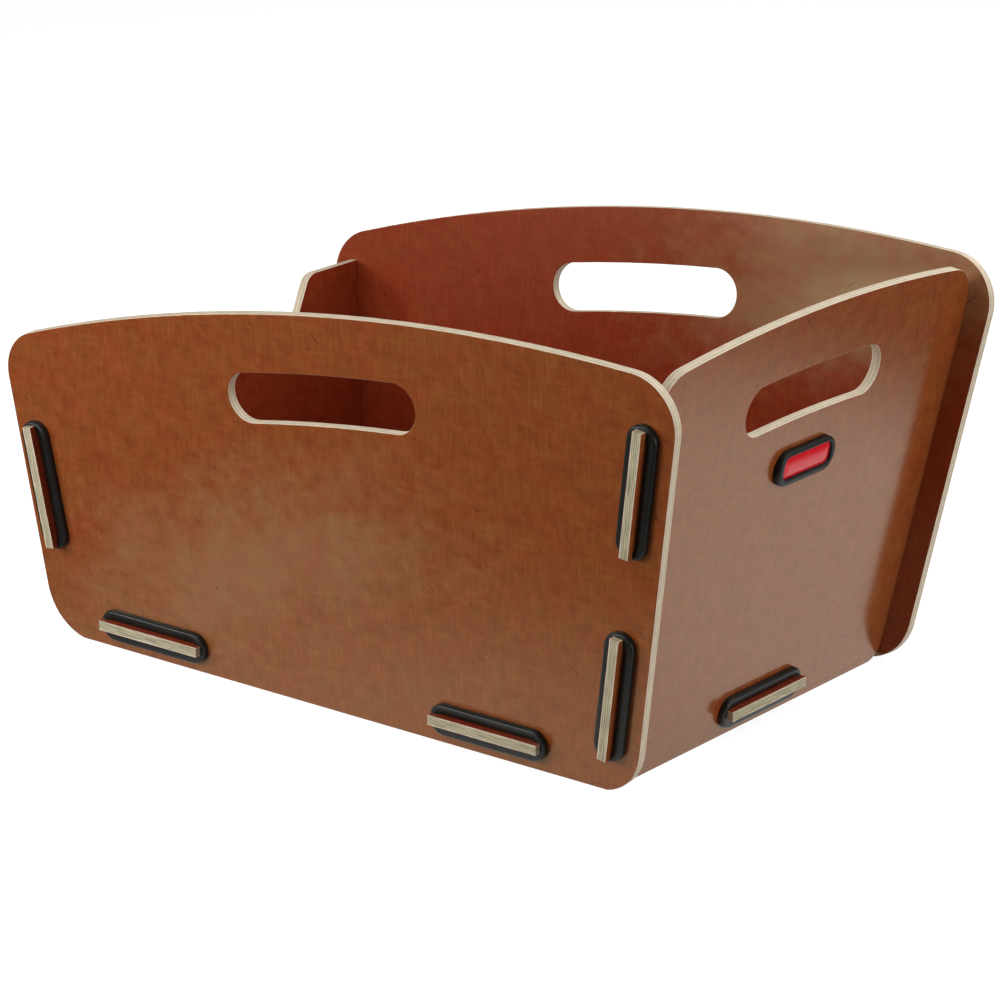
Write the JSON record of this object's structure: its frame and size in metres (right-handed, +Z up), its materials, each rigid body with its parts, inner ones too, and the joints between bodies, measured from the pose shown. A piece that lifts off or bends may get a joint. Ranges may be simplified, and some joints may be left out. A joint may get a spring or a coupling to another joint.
{
  "type": "bicycle crate",
  "caption": "Flat-pack plywood crate for a bicycle rack, with leaning walls, arched rims, hand holes and a notched end, its tabs locked by rubber rings.",
  "frame": {"origin": "middle of the crate at the ground that its long walls stand on", "axes": "+X along the long walls towards the tall end wall, +Y towards the back long wall, +Z up"},
  "size_m": [0.4337, 0.3088, 0.2296],
  "materials": {
    "plywood": "semi-gloss red-brown face film on birch plywood, edges bare and clear lacquered",
    "rubber": "satin moulded",
    "badge_black": "gloss moulded",
    "badge_red": "gloss printed plate, plain"
  },
  "bodies": {
    "root": {"front_panel": "plywood", "back_panel": "plywood", "right_end_panel": "plywood", "left_end_panel": "plywood", "bottom_panel": "plywood", "back_floor_short_ring": "rubber", "back_floor_tall_ring": "rubber", "back_short_ring": "rubber", "back_tall_lower_ring": "rubber", "back_tall_upper_ring": "rubber", "front_floor_short_ring": "rubber", "front_floor_tall_ring": "rubber", "front_short_ring": "rubber", "front_tall_lower_ring": "rubber", "front_tall_upper_ring": "rubber", "left_end_ring": "rubber", "right_end_ring": "rubber", "badge_frame": "badge_black", "badge_plate": "badge_red"}
  },
  "joints": []
}
